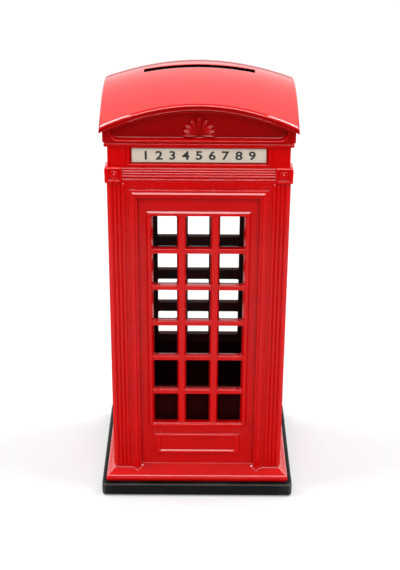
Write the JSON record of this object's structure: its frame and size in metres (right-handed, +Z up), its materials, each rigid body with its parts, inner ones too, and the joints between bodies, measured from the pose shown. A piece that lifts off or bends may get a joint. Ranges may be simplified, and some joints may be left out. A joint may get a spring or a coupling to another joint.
{
  "type": "coin bank",
  "caption": "Die-cast coin bank shaped as a red street telephone kiosk with open windows, a slotted domed roof and a black base with a rubber plug.",
  "frame": {"origin": "centre of the footprint on the table, under the rubber feet", "axes": "+Z up, -Y the front, +X to the right seen from the front"},
  "size_m": [0.0634, 0.053, 0.14],
  "materials": {
    "red_enamel": "gloss enamel on die-cast zinc",
    "sign_cream": "satin cream lacquer",
    "base_plastic": "black moulded plastic, fine texture",
    "liner_plastic": "black moulded plastic",
    "plug_rubber": "soft black rubber",
    "post_steel": "zinc-plated steel",
    "screw_steel": "zinc-plated steel",
    "foot_rubber": "black rubber"
  },
  "bodies": {
    "booth": {"front_panel": "red_enamel", "right_panel": "red_enamel", "back_panel": "red_enamel", "left_panel": "red_enamel", "front_sign": "sign_cream", "right_sign": "sign_cream", "back_sign": "sign_cream", "left_sign": "sign_cream", "roof_shell": "red_enamel", "base_tray": "base_plastic", "coin_liner": "liner_plastic", "tie_post_front_left": "post_steel", "tie_post_front_right": "post_steel", "tie_post_back_left": "post_steel", "tie_post_back_right": "post_steel", "base_screws": "screw_steel", "foot_front_left": "foot_rubber", "foot_front_right": "foot_rubber", "foot_back_left": "foot_rubber", "foot_back_right": "foot_rubber"},
    "plug": {"coin_plug": "plug_rubber"}
  },
  "joints": [
    {"name": "plug_pull", "type": "slide", "parent": "booth", "child": "plug", "axis": [0, 0, -1], "range_m": [0, 0.025]}
  ]
}
